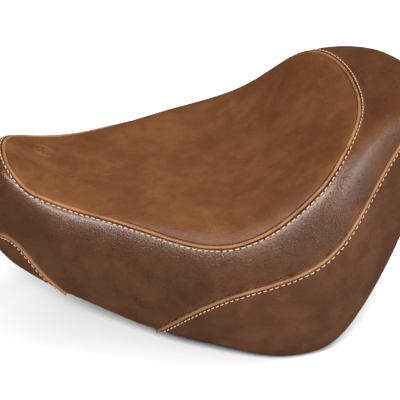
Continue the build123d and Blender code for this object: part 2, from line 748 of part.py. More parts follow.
# ---------------------------------------------------------------- export
pieces = {
    "seat_insert_panel": seat_insert_panel.part,
    "side_band_panel": side_band_panel.part,
    "rear_skirt_panel": rear_skirt_panel.part,
    "nose_skirt_panel": nose_skirt_panel.part,
    "insert_welt": insert_welt.part,
    "rear_skirt_welt": rear_skirt_welt.part,
    "nose_skirt_welt": nose_skirt_welt.part,
    "insert_topstitch": insert_topstitch.part,
    "rear_skirt_topstitch": rear_skirt_topstitch.part,
    "nose_skirt_topstitch": nose_skirt_topstitch.part,
    "foam_core": foam_core.part,
    "baseplate": baseplate.part,
    "hem_strip": hem_strip.part,
    "hem_rivets": hem_rivets.part,
    "boss_inserts": boss_inserts.part,
    "front_tongue": front_tongue.part,
    "tongue_washers": tongue_washers.part,
    "tongue_bolts": tongue_bolts.part,
    "rear_tab": rear_tab.part,
    "rear_tab_washers": rear_tab_washers.part,
    "rear_tab_bolts": rear_tab_bolts.part,
    "bumper_screws": bumper_screws.part,
}
pieces.update(bumper_parts)
for name, piece in pieces.items():
    piece.label = name
    export_step(piece, "parts/" + name + ".step")
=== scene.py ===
import json
import math
import bpy
import numpy as np
from mathutils import Matrix, Vector
from mathutils.bvhtree import BVHTree
from mathutils.kdtree import KDTree

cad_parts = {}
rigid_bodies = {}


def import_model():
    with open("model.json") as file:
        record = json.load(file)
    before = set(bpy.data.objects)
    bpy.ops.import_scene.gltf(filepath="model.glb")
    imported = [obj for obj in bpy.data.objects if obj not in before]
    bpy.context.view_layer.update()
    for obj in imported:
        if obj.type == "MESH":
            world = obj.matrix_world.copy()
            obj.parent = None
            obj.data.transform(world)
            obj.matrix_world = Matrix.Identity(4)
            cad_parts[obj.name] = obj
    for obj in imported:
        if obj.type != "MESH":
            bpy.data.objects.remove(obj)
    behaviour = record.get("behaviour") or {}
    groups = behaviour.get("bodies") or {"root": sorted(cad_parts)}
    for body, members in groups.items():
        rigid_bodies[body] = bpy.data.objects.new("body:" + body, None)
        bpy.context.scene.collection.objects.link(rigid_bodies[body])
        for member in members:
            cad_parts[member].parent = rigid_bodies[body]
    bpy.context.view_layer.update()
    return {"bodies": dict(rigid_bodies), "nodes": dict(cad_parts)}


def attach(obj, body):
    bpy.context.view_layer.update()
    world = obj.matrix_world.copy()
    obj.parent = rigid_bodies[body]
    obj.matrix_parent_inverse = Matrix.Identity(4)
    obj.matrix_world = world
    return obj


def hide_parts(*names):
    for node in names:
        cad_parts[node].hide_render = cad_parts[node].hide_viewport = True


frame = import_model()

BODY = sorted(frame["bodies"])[0]
MM = 0.001  # the shape below is worked out in millimetres, and meshes are built in metres
FULL_TURN = 2 * np.pi

# ------------------------------------------------------------------ seat shape, in mm, as in the CAD
# Nine sections stand at even steps from the nose to the tail.
X_NOSE, X_TAIL = -273.8, 275.0
HALF_WIDTH = (57.0, 85.0, 115.0, 146.5, 175.0, 177.5, 162.5, 128.5, 100.5)
SHOULDER_Z = (240.0, 202.0, 190.0, 190.0, 192.0, 213.5, 259.5, 285.0, 306.5)
DISH_DEPTH = (-12.0, -4.0, 4.5, 10.0, 12.0, 9.5, 4.5, -0.5, -5.0)
BOTTOM_Z = (97.5, 74.5, 50.0, 29.5, 21.0, 0.5, 12.5, 78.0, 132.5)
INSERT_FRACTION = (0.81, 0.87, 0.92, 0.98, 0.99, 0.96, 0.91, 0.81, 0.71)
REST_LEVEL, REST_BLEND = -2.0, 4.0
TUCK_IN = 0.92  # the lower edge turns in to this share of the half width
# each tip is rounded in plan over its ROUND length, and closes in height over its DROP length
NOSE_ROUND, TAIL_ROUND, NOSE_POWER, TAIL_POWER = 93.0, 162.0, 2.15, 1.95
NOSE_DROP, TAIL_DROP, NOSE_CLOSE_Z, TAIL_CLOSE_Z = 32.5, 92.5, 106.0, 222.0
INSERT_FRONT_X, INSERT_REAR_X = -247.0, 178.5
INSERT_FRONT_ROUND, INSERT_REAR_ROUND = 40.0, 74.5
REAR_SEAM_START_X, NOSE_SEAM_END_X = -82.5, -185.5
# (x, z) points of the two skirt seams, seen from the side
REAR_SEAM = ((-11.0, 105.5), (60.0, 131.0), (131.5, 165.0), (202.5, 240.5), (274.0, 256.5))
NOSE_SEAM = ((-274.0, 122.5), (-244.5, 130.5), (-215.0, 98.0))
COVER = 3.0  # leather with its backing
CONTROLS = 11  # control points across a section
MIDDLE_CONTROL = 5


def natural_spline(xs, ys):
    """Cubic through the given points, with no bend at either end."""
    xs, ys = np.asarray(xs, float), np.asarray(ys, float)
    n = len(xs)
    h = np.diff(xs)
    system = np.eye(n)
    right = np.zeros(n)
    for i in range(1, n - 1):
        system[i, i - 1:i + 2] = (h[i - 1], 2 * (h[i - 1] + h[i]), h[i])
        right[i] = 6 * ((ys[i + 1] - ys[i]) / h[i] - (ys[i] - ys[i - 1]) / h[i - 1])
    curve = np.linalg.solve(system, right)

    def value(x):
        x = np.asarray(x, float)
        i = np.clip(np.searchsorted(xs, x, side="right") - 1, 0, n - 2)
        a, b = (xs[i + 1] - x) / h[i], (x - xs[i]) / h[i]
        bend = ((a**3 - a) * curve[i] + (b**3 - b) * curve[i + 1]) * h[i] ** 2 / 6
        return a * ys[i] + b * ys[i + 1] + bend

    return value


station_x = np.linspace(X_NOSE, X_TAIL, len(HALF_WIDTH))
half_width = natural_spline(station_x, HALF_WIDTH)
shoulder_z = natural_spline(station_x, SHOULDER_Z)
dish_depth = natural_spline(station_x, DISH_DEPTH)
bottom_spline = natural_spline(station_x, BOTTOM_Z)
insert_fraction = natural_spline(station_x, INSERT_FRACTION)


def bottom_z(x):
    """Height of the lowest edge, eased so that it never drops under the level the seat rests on."""
    over = bottom_spline(x) - REST_LEVEL
    return REST_LEVEL + (over + np.sqrt(over * over + REST_BLEND**2)) / 2


def round_off(distance, length, power):
    """Rises from 0 at an end to 1 at that distance from it, as a superellipse."""
    q = np.clip(1 - distance / length, 0.0, 1.0)
    return np.maximum(1 - q**power, 0.0) ** (1 / power)


def basis(t, controls=CONTROLS):
    """Clamped uniform cubic B-spline weights."""
    t = np.clip(np.asarray(t, float), 0, 1 - 1e-9)
    knots = np.concatenate([[0] * 3, np.linspace(0, 1, controls - 2), [1] * 3])
    weights = ((t[:, None] >= knots[None, :-1]) & (t[:, None] < knots[None, 1:])).astype(float)
    for degree in range(1, 4):
        lifted = np.zeros((len(t), len(knots) - 1 - degree))
        for i in range(lifted.shape[1]):
            left, right = knots[i + degree] - knots[i], knots[i + degree + 1] - knots[i + 1]
            if left > 0:
                lifted[:, i] += (t - knots[i]) / left * weights[:, i]
            if right > 0:
                lifted[:, i] += (knots[i + degree + 1] - t) / right * weights[:, i + 1]
        weights = lifted
    return weights


def cover_points(x, weights, inset=0.0):
    """Surface points: one row per x, one column per section parameter."""
    x = np.asarray(x, float)
    width = half_width(x) - inset
    low, shoulder, depth = bottom_z(x) + inset, shoulder_z(x) - inset, dish_depth(x)
    height = shoulder - low
    plan = round_off(x - X_NOSE - inset, NOSE_ROUND - inset, NOSE_POWER)
    plan = plan * round_off(X_TAIL - inset - x, TAIL_ROUND - inset, TAIL_POWER)
    drop = round_off(x - X_NOSE - inset, NOSE_DROP - inset, 2.0)
    close = round_off(X_TAIL - inset - x, TAIL_DROP - inset, 2.0)
    # (distance from the middle, height) of the control points, from the dish to the tucked-in edge
    half = [
        (0 * width, shoulder - depth),
        (0.42 * width, shoulder - 0.9 * depth),
        (0.80 * width, shoulder + 0.02 * height),
        (1.06 * width, shoulder - 0.06 * height),
        (1.07 * width, shoulder - 0.58 * height),
        (TUCK_IN * width, low),
    ]
    controls = np.zeros((len(x), CONTROLS, 2))
    for i, (y, z) in enumerate(half):
        z = NOSE_CLOSE_Z + (z - NOSE_CLOSE_Z) * drop
        z = TAIL_CLOSE_Z + (z - TAIL_CLOSE_Z) * close
        controls[:, MIDDLE_CONTROL + i] = np.stack([y * plan, z], -1)
        controls[:, MIDDLE_CONTROL - i] = np.stack([-y * plan, z], -1)
    yz = np.einsum("vk,nkc->nvc", weights, controls)
    return np.concatenate([np.broadcast_to(x[:, None, None], yz.shape[:2] + (1,)), yz], -1)


# both skirt seams are heights over x, and both run out at the bottom edge
rear_start = (REAR_SEAM_START_X, float(bottom_z(REAR_SEAM_START_X)))
nose_end = (NOSE_SEAM_END_X, float(bottom_z(NOSE_SEAM_END_X)))
rear_seam = natural_spline(*zip(rear_start, *REAR_SEAM))
nose_seam = natural_spline(*zip(*NOSE_SEAM, nose_end))

# ------------------------------------------------------------------ reference surface
GRID_X, GRID_V = ((420, 440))
END = 0.0005  # the grid stops this far short of each tip, where the section shrinks to nothing
grid_x = X_NOSE + END + (X_TAIL - X_NOSE - 2 * END) * (1 - np.cos(np.pi * np.linspace(0, 1, GRID_X))) / 2
surface = cover_points(grid_x, basis(np.linspace(0, 1, GRID_V)))


def grid_normals(points):
    """Outward normals of the grid."""
    du = np.gradient(points, axis=0)
    dv = np.gradient(points, axis=1)
    n = np.cross(du, dv)
    n /= np.maximum(np.linalg.norm(n, axis=-1, keepdims=True), 1e-9)
    middle = n[len(n) // 2, n.shape[1] // 2]
    return n if middle[2] > 0 else -n


def point_tree(points):
    tree = KDTree(len(points))
    for k, p in enumerate(points):
        tree.insert(p, k)
    tree.balance()
    return tree


def face_tree(points):
    return BVHTree.FromPolygons([tuple(p) for p in points], grid_faces)


normals = grid_normals(surface)
grid_faces = []
for i in range(GRID_X - 1):
    for j in range(GRID_V - 1):
        k = i * GRID_V + j
        grid_faces.append((k, k + GRID_V, k + GRID_V + 1, k + 1))
flat_points = surface.reshape(-1, 3)
flat_normals = normals.reshape(-1, 3)
surface_tree = face_tree(flat_points)
vertex_tree = point_tree(flat_points)


def on_surface(point):
    """Nearest point of the smooth cover."""
    return np.array(surface_tree.find_nearest(Vector(point))[0])


def normal_at(point):
    """Normal of the smooth cover, averaged over the four nearest grid points."""
    hits = vertex_tree.find_n(Vector(point), 4)
    n = sum(flat_normals[k] / (distance + 0.3) for _, k, distance in hits)
    return n / np.linalg.norm(n)


# ------------------------------------------------------------------ seam lines
FINE, FINE_MIDDLE = 321, 160
fine = basis(np.linspace(0, 1, FINE))


def insert_half(x):
    """Half width of the insert, seen from above."""
    y = half_width(x) * insert_fraction(x) * round_off(x - INSERT_FRONT_X, INSERT_FRONT_ROUND, 2.2)
    return y * round_off(INSERT_REAR_X - x, INSERT_REAR_ROUND, 2.4)


def insert_line(count=500):
    """The closed seam round the insert: the right half, then its mirror image."""
    t = np.linspace(0, 1, count)
    x = INSERT_FRONT_X + (INSERT_REAR_X - INSERT_FRONT_X) * (1 - np.cos(np.pi * t)) / 2
    y = insert_half(x)
    rows = cover_points(x, fine)[:, FINE_MIDDLE:]
    right = []
    for i in range(count):
        top = int(np.argmax(rows[i, :, 1]))
        right.append((x[i], y[i], float(np.interp(y[i], rows[i, :top + 1, 1], rows[i, :top + 1, 2]))))
    right = np.array(right)
    left = right[1:-1][::-1] * (1, -1, 1)
    return np.concatenate([right, left])


def wall_reach(x, z):
    """How far out the side wall stands at that height, or 0 above its top."""
    row = cover_points([x], fine)[0, FINE_MIDDLE:]
    top = int(np.argmax(row[:, 2]))
    side = row[top:][::-1]
    if z > side[-1, 2]:
        return 0.0
    return float(np.interp(z, side[:, 2], side[:, 1]))


def skirt_line(seam, start, inside, outside, count=260):
    """A skirt's seam from the left bottom edge, round the tip and back to the right bottom edge."""
    for _ in range(40):
        middle = (inside + outside) / 2
        if wall_reach(middle, float(seam(middle))) > 0:
            inside = middle
        else:
            outside = middle
    t = np.linspace(0, 1, count)
    x = inside + (start - inside) * (1 - t) ** 2
    left = np.array([(a, -wall_reach(a, float(seam(a))), float(seam(a))) for a in x[:-1]])
    middle = np.array([(x[-1], 0.0, float(seam(x[-1])))])
    return np.concatenate([left, middle, left[::-1] * (1, -1, 1)])


def even_line(points, step, closed):
    """The same line at even steps, and the length of a step."""
    if closed:
        points = np.concatenate([points, points[:1]])
    length = np.concatenate([[0], np.cumsum(np.linalg.norm(np.diff(points, axis=0), axis=1))])
    count = max(int(round(length[-1] / step)), 4)
    at = np.linspace(0, length[-1], count + 1)
    if closed:
        at = at[:-1]
    return np.stack([np.interp(at, length, points[:, k]) for k in range(3)], -1), length[-1] / count


class Seam:
    """A seam on the cover with its tangent, normal and sideways direction at even steps."""

    def __init__(self, points, closed, step=1.0):
        line, self.step = even_line(points, step, closed)
        self.closed = closed
        self.points = np.array([on_surface(p) for p in line])
        self.points = self.smooth(self.points, 2)
        self.normal = self.smooth(np.array([normal_at(p) for p in self.points]), 4)
        self.normal /= np.linalg.norm(self.normal, axis=1, keepdims=True)
        ahead = np.roll(self.points, -1, 0) - np.roll(self.points, 1, 0)
        if not closed:
            ahead[0] = self.points[1] - self.points[0]
            ahead[-1] = self.points[-1] - self.points[-2]
        self.tangent = ahead / np.linalg.norm(ahead, axis=1, keepdims=True)
        self.side = np.cross(self.normal, self.tangent)
        self.side /= np.linalg.norm(self.side, axis=1, keepdims=True)

    def smooth(self, values, rounds):
        for _ in range(rounds):
            if self.closed:
                values = (np.roll(values, 1, 0) + 2 * values + np.roll(values, -1, 0)) / 4
            else:
                inner = (values[:-2] + 2 * values[1:-1] + values[2:]) / 4
                values = np.concatenate([values[:1], inner, values[-1:]])
        return values

    def distances(self, points):
        """Distance of each point from the seam, less the gap left between two steps."""
        tree = point_tree(self.points)
        d = np.array([tree.find(p)[2] for p in points])
        return np.sqrt(np.maximum(d * d - 0.06, 0.0))

    def at(self, along):
        """Point, side and normal at that length along the seam."""
        i = int(along / self.step)
        part = along / self.step - i
        i, j = i % len(self.points), (i + 1) % len(self.points)
        return [v[i] * (1 - part) + v[j] * part for v in (self.points, self.side, self.normal)]


insert_seam = Seam(insert_line(), True)
rear_line = Seam(skirt_line(rear_seam, REAR_SEAM_START_X, 180.0, X_TAIL), False)
nose_line = Seam(skirt_line(nose_seam, NOSE_SEAM_END_X, -240.0, X_NOSE), False)
# sideways points from the insert to the band, and from the skirts up to the band
for seam, outward in ((insert_seam, -1.0), (rear_line, 1.0), (nose_line, 1.0)):
    k = len(seam.points) // 6
    seam.flip = bool(seam.side[k][2] * outward < 0)
    if seam.flip:
        seam.side = -seam.side

xg, yg, zg = surface[..., 0], surface[..., 1], surface[..., 2]
column = np.arange(GRID_V)[None, :]
widest_right = np.argmax(yg, axis=1)[:, None]
widest_left = np.argmin(yg, axis=1)[:, None]
upper = (column <= np.maximum(widest_left, widest_right)) & (column >= np.minimum(widest_left, widest_right))
within_x = (xg > INSERT_FRONT_X) & (xg < INSERT_REAR_X)
in_insert = upper & (np.abs(yg) < insert_half(grid_x)[:, None]) & within_x
SEAM_MARGIN = 6
in_rear = (zg < rear_seam(xg)) & (xg > REAR_SEAM_START_X - SEAM_MARGIN)
in_nose = (zg < nose_seam(xg)) & (xg < NOSE_SEAM_END_X + SEAM_MARGIN)


def signed_distance(seam, inside):
    """Distance from a seam over the grid, negative inside the insert or the skirt."""
    return seam.distances(flat_points).reshape(xg.shape) * np.where(inside, -1, 1)


d_insert = signed_distance(insert_seam, in_insert)
d_rear = signed_distance(rear_line, in_rear)
d_nose = signed_distance(nose_line, in_nose)


# ------------------------------------------------------------------ fine relief of the leather
def ripples(points, size, seed, count=14):
    """Smooth wandering values between about -1 and 1, of that size in mm."""
    rng = np.random.default_rng(seed)
    total = np.zeros(points.shape[:-1])
    for _ in range(count):
        direction = rng.normal(size=3)
        direction *= 2 * np.pi / (size * rng.uniform(0.7, 1.5)) / np.linalg.norm(direction)
        total += np.cos(points @ direction + rng.uniform(0, 6.28))
    return total / math.sqrt(count / 2) / 1.6


def near_seam(distance, reach):
    """1 at a seam, fading away from it."""
    return np.exp(-np.abs(distance) / reach)


edge_length = np.linalg.norm(np.diff(surface, axis=1), axis=-1)
from_left = np.concatenate([np.zeros((GRID_X, 1)), np.cumsum(edge_length, 1)], 1)
to_border = np.minimum(from_left, from_left[:, -1:] - from_left)
HEM_ROUND = 4.5
inside = np.clip(HEM_ROUND - to_border, 0, HEM_ROUND)
hem_pull = HEM_ROUND - np.sqrt(HEM_ROUND**2 - inside**2)
# the leather is drawn in at each seam
PULL_REACH = 5
pull = 0.9 * near_seam(d_insert, PULL_REACH) + 0.8 * near_seam(d_rear, PULL_REACH)
pull = pull + 0.8 * near_seam(d_nose, PULL_REACH)
# and wanders over the foam between them, a little inside the smooth cover so that it keeps to its box
CALM_REACH, SETTLE = 9, 0.35
relief = 0.55 * ripples(surface, 95, 3) + 0.16 * ripples(surface, 34, 5)
relief = relief * (1 - near_seam(d_insert, CALM_REACH)) * (1 - near_seam(d_rear, CALM_REACH)) - SETTLE


def creases(centre, reach, lean, gap, depth, seed):
    """A fan of shallow folds round a centre on the left, a gap apart, and the same on the right."""
    on_left = np.stack([xg, -np.abs(yg), zg], -1)
    offset = on_left - np.array(centre)
    fade = np.exp(-np.sum((offset / np.array(reach)) ** 2, -1))
    across = offset @ (np.array(lean) / np.linalg.norm(lean)) + 2.2 * ripples(surface, 45, seed)
    return -depth * fade * (1 - np.abs(np.sin(np.pi * across / gap))) ** 2.5


skirt_folds = creases((186, -138, 203), (34, 40, 26), (0.35, 0.0, 1.0), 11.0, 1.3, 31)
insert_folds = creases((120, -128, 236), (30, 22, 20), (1.0, 0.25, -0.3), 7.5, 0.45, 32)
band_folds = creases((128, -160, 212), (45, 30, 24), (0.6, 0.3, 1.0), 8.0, 0.40, 33)
folds = skirt_folds * (d_rear < -3) + insert_folds * (d_insert < -5)
folds = folds + band_folds * (d_insert > 8) * (d_rear > 8)
shape = surface + normals * (relief + folds - pull - hem_pull)[..., None]
flat_shape = shape.reshape(-1, 3)
shape_tree = face_tree(flat_shape)


# ------------------------------------------------------------------ panels cut along the seams
class Sheet:
    """Vertices, faces and how worn each vertex is, gathered for one mesh."""

    def __init__(self):
        self.points, self.faces, self.worn = [], [], []

    def add(self, point, worn=0.0):
        self.points.append(tuple(float(c) for c in point))
        self.worn.append(float(worn))
        return len(self.points) - 1

    def build(self, name, material):
        mesh = bpy.data.meshes.new(name)
        mesh.from_pydata([tuple(c * MM for c in p) for p in self.points], [], self.faces)
        mesh.update()
        attribute = mesh.attributes.new("worn", "FLOAT", "POINT")
        attribute.data.foreach_set("value", self.worn)
        mesh.polygons.foreach_set("use_smooth", [True] * len(mesh.polygons))
        mesh.materials.append(material)
        obj = bpy.data.objects.new(name, mesh)
        bpy.context.scene.collection.objects.link(obj)
        return obj


HEM_FRONT, HEM_BACK, HEM_WIDTH = 24.0, 22.0, 15.6
HEM_STEPS = (0.12, 0.3, 0.55, 0.8, 1.0)


def bottom_edge_z(x):
    return float(cover_points([x], fine[:1])[0, 0, 2])


def hem_inner(x, hand):
    """Inner end of the folded hem under the base, matched to outer x."""
    front, back = X_NOSE + HEM_FRONT, X_TAIL - HEM_BACK
    at = front + (x - X_NOSE) / (X_TAIL - X_NOSE) * (back - front)
    plan = round_off(at - front, NOSE_ROUND - HEM_FRONT, NOSE_POWER)
    plan = plan * round_off(back - at, TAIL_ROUND - HEM_BACK, TAIL_POWER)
    return at, hand * (TUCK_IN * (half_width(at) - COVER) - HEM_WIDTH) * plan


WORN_REACH = 6  # the leather is rubbed paler within a few millimetres of a seam


def profile_rows(sheet, boundary, seam, rows):
    """Tucks a cut edge in beside a seam: each row is (distance from the seam, height over the cover)."""
    tree = point_tree(seam.points)
    columns = {}
    for v in sorted({v for edge in boundary for v in edge}):
        p = np.array(sheet.points[v])
        k = tree.find(p)[1]
        along = float((p - seam.points[k]) @ seam.tangent[k])
        foot = seam.points[k] + seam.tangent[k] * along
        columns[v] = [v]
        for place, height in rows:
            point = on_surface(foot + seam.side[k] * place) + seam.normal[k] * height
            columns[v].append(sheet.add(point, 1.0))
    for a, b in boundary:
        for r in range(len(rows)):
            sheet.faces.append((columns[a][r], columns[a][r + 1], columns[b][r + 1], columns[b][r]))


def cut_panel(sheet, cuts):
    """The part of the cover that every cut keeps, and the sheet's vertex for each grid point in it.

    A cut is (signed distance over the grid, level, side to keep, seam, rows that tuck its edge in).
    """
    fields = [(side * (level - grid)).reshape(-1) for grid, level, side, _, _ in cuts]
    quads = np.array(grid_faces)
    kept = [field[quads] <= 0 for field in fields]
    whole = np.all([k.all(1) for k in kept], axis=0)
    gone = np.any([~k.any(1) for k in kept], axis=0)
    index = {}
    worn = np.maximum.reduce([near_seam(d, WORN_REACH) for d in (d_insert, d_rear, d_nose)]).reshape(-1)

    def vertex(k):
        if k not in index:
            index[k] = sheet.add(flat_shape[k], worn[k])
        return index[k]

    for quad in quads[whole]:
        sheet.faces.append(tuple(vertex(int(k)) for k in quad))
    borders = [[] for _ in cuts]
    crossing = {}
    for quad in quads[~whole & ~gone]:
        which = next(n for n, field in enumerate(fields) if not (field[quad] <= 0).all())
        value = fields[which]
        polygon, cut_points = [], []
        for a, b in zip(quad, np.roll(quad, -1)):
            a, b = int(a), int(b)
            if value[a] <= 0:
                polygon.append(vertex(a))
            if (value[a] <= 0) != (value[b] <= 0):
                pair = (which, min(a, b), max(a, b))
                if pair not in crossing:
                    part = value[a] / (value[a] - value[b])
                    p = flat_shape[a] * (1 - part) + flat_shape[b] * part
                    crossing[pair] = sheet.add(p, worn[a] * (1 - part) + worn[b] * part)
                polygon.append(crossing[pair])
                cut_points.append(crossing[pair])
        if len(polygon) > 2:
            sheet.faces.append(tuple(polygon))
        if len(cut_points) == 2:
            borders[which].append(tuple(cut_points))
    for (_, _, _, seam, rows), border in zip(cuts, borders):
        profile_rows(sheet, border, seam, rows)
    return index


def fold_hem(sheet, index):
    """The leather folds round the bottom edge, is pulled flat under it and turns up at its inner end."""
    for column, hand in ((0, -1), (GRID_V - 1, 1)):
        rows = {}
        for i in range(GRID_X):
            k = i * GRID_V + column
            if k not in index:
                continue
            start = np.array(sheet.points[index[k]])
            at, y = hem_inner(grid_x[i], hand)
            end = np.array((at, y, 0.0))
            made = [index[k]]
            for step in HEM_STEPS:
                p = start * (1 - step) + end * step
                p[2] = bottom_edge_z(p[0]) + 0.1 + 0.15 * math.sin(p[0] * 0.7 + step * 5)
                made.append(sheet.add(p, 0.1))
            p = np.array(sheet.points[made[-1]]) + (0, -0.4 * hand, 4.0)
            made.append(sheet.add(p, 0.0))
            rows[i] = made
        for i in range(GRID_X - 1):
            if i in rows and i + 1 in rows:
                for r in range(len(HEM_STEPS) + 1):
                    a, b, c, d = rows[i][r], rows[i][r + 1], rows[i + 1][r + 1], rows[i + 1][r]
                    sheet.faces.append((a, b, c, d) if hand < 0 else (d, c, b, a))


def bell(distance, width):
    """1 at the middle of a pressed line, with a flat top and steep sides."""
    return math.exp(-((distance / width) ** 4))


def pressed_mark(sheet, centre, radius=14.0):
    """A plain double ring with a six-petal flower, raised on a disc of the insert near the nose."""
    middle = on_surface(centre)
    up = normal_at(middle)
    ahead = np.array((1.0, 0, 0)) - up * up[0]
    ahead /= np.linalg.norm(ahead)
    across = np.cross(up, ahead)
    rounds, spokes = 46, 168
    previous = None
    for r in range(rounds + 1):
        reach = radius * r / rounds
        ring = []
        for s in range(spokes):
            angle = FULL_TURN * s / spokes
            flat = middle + (ahead * math.cos(angle) + across * math.sin(angle)) * reach
            point = np.array(shape_tree.find_nearest(Vector(flat))[0])
            petal = max(math.cos(6 * angle), 0) ** 0.6 * bell(reach - 5.4, 2.6)
            rim = bell(reach - 12.1, 0.62) + 0.8 * bell(reach - 9.6, 0.4)
            height = 0.35 + 0.8 * max(rim, petal, bell(reach, 1.5))
            if reach > radius - 1.0:  # the disc's edge sinks back under the leather
                height -= 1.1 * (reach - radius + 1.0)
            ring.append(sheet.add(point + up * height, 0.15 + 0.85 * max(rim, petal)))
        if previous:
            for s in range(spokes):
                n = (s + 1) % spokes
                sheet.faces.append((previous[s], ring[s], ring[n], previous[n]))
        previous = ring


# (distance from the seam, height over the cover): the band dives under the ridge, and the panel that
# carries the ridge ends just inside it
band_rows = [(2.4, -0.75), (1.8, -0.85), (1.2, -1.15), (0.7, -1.7), (0.35, -2.4), (0.1, -3.4)]
ridge_rows = [(-4.6, -0.95), (-4.2, -1.15), (-3.9, -1.5), (-3.7, -2.1), (-3.55, -3.2)]
CLIP_BAND, CLIP_RIDGE = 3.0, -5.0
panel_cuts = {
    "seat_insert_panel": [(d_insert, CLIP_RIDGE, -1, insert_seam, ridge_rows)],
    "rear_skirt_panel": [(d_rear, CLIP_RIDGE, -1, rear_line, ridge_rows)],
    "nose_skirt_panel": [(d_nose, CLIP_RIDGE, -1, nose_line, ridge_rows)],
    "side_band_panel": [
        (d_insert, CLIP_BAND, 1, insert_seam, band_rows),
        (d_rear, CLIP_BAND, 1, rear_line, band_rows),
        (d_nose, CLIP_BAND, 1, nose_line, band_rows),
    ],
}


PITCH = 7.0  # length of a stitch with its gap


def ridge(name, seam, profile, material, seed):
    """The folded leather ridge beside a seam: it swells between the stitches and sways a little."""
    sheet = Sheet()
    count = len(seam.points)
    arc = np.arange(count) * seam.step
    swell = 0.10 * np.cos(FULL_TURN * arc / PITCH + 0.6 * ripples(seam.points, 60, seed))
    swell += 0.10 * ripples(seam.points, 16, seed + 1)
    sway = 0.16 * ripples(seam.points, 40, seed + 2)
    grid = []
    for i in range(count):
        row = []
        for n, (place, height) in enumerate(profile):
            lift = swell[i] if 2 <= n <= len(profile) - 3 else 0.0
            p = seam.points[i] + seam.side[i] * (place + sway[i]) + seam.normal[i] * (height + lift)
            row.append(sheet.add(p, 1.0 if n > len(profile) // 2 else 0.6))
        grid.append(row)
    for i in range(count if seam.closed else count - 1):
        j = (i + 1) % count
        for n in range(len(profile) - 1):
            quad = (grid[i][n], grid[j][n], grid[j][n + 1], grid[i][n + 1])
            sheet.faces.append(quad if not seam.flip else quad[::-1])
    return sheet.build(name, material)


THREAD_RADIUS = 0.50
THREAD_RINGS, THREAD_SIDES, HOLE_SIDES = 11, 8, 10
END_MARGIN = 5  # no stitch is closer than this to an open end of a seam


def needle_pit(sheet, seam, spot, place, height):
    """The hole between two stitches: a shallow pit given a near-black finish as painted shade; returns the
    numbers of its faces.
    """
    point, side, up, ahead = seam.points[spot], seam.side[spot], seam.normal[spot], seam.tangent[spot]
    ring, faces = [], []
    for q in range(HOLE_SIDES):
        angle = FULL_TURN * q / HOLE_SIDES
        out = side * math.cos(angle) * 0.72 + ahead * math.sin(angle) * 0.95
        ring.append(sheet.add(point + side * place + out + up * (height - 0.28)))
    pit = sheet.add(point + side * place + up * (height - 1.1))
    for q in range(HOLE_SIDES):
        sheet.faces.append((ring[q], ring[(q + 1) % HOLE_SIDES], pit))
        faces.append(len(sheet.faces) - 1)
    return faces


def thread_length(sheet, seam, at, reach, skew, place, height, shift):
    """One visible stitch: an arch of two twisted strands, closed at both ends."""
    previous = None
    for r in range(THREAD_RINGS):
        t = -1 + 2 * r / (THREAD_RINGS - 1)
        point, side, up = seam.at(at + t * reach)
        lift = height + 0.28 - 1.25 * abs(t) ** 3.2
        middle = point + side * (place + shift + skew * t * reach) + up * lift
        tip = 0.62 if abs(t) > 0.99 else 1.0
        ring = []
        for q in range(THREAD_SIDES):
            angle = FULL_TURN * q / THREAD_SIDES
            strand = 1 + 0.13 * math.cos(2 * (angle - 2.4 * np.pi * t))
            radius = THREAD_RADIUS * tip * strand
            offset = side * math.cos(angle) * radius * 1.1 + up * math.sin(angle) * radius * 0.9
            ring.append(sheet.add(middle + offset))
        if previous:
            for q in range(THREAD_SIDES):
                n = (q + 1) % THREAD_SIDES
                sheet.faces.append((previous[q], previous[n], ring[n], ring[q]))
        else:
            sheet.faces.append(tuple(ring))
        previous = ring
    sheet.faces.append(tuple(reversed(previous)))


def stitches(name, seam, place, height, material, seed):
    """Single stitches, each a short twisted length of thread that dives into the leather at both ends."""
    sheet = Sheet()
    rng = np.random.default_rng(seed)
    total = len(seam.points) * seam.step
    count = int(round(total / PITCH))
    pitch = total / count
    painted_shade_faces = []
    for k in range(count):
        at = (k + 0.5) * pitch + rng.normal() * 0.12
        reach = 0.33 * pitch + rng.normal() * 0.1
        skew = 0.07 + rng.normal() * 0.03
        shift = rng.normal() * 0.08
        if not seam.closed and not END_MARGIN < at < total - END_MARGIN:
            continue
        spot = int((at + 0.5 * pitch) / seam.step) % len(seam.points)
        if seam.closed or at + 0.5 * pitch < total - END_MARGIN - 1:
            painted_shade_faces += needle_pit(sheet, seam, spot, place, height)
        thread_length(sheet, seam, at, reach, skew, place, height, shift)
    obj = sheet.build(name, material)
    # the pit faces take the near-black finish: painted shade in the needle holes
    obj.data.materials.append(needle_hole_painted_shade)
    for face in painted_shade_faces:
        obj.data.polygons[face].material_index = 1
    return obj


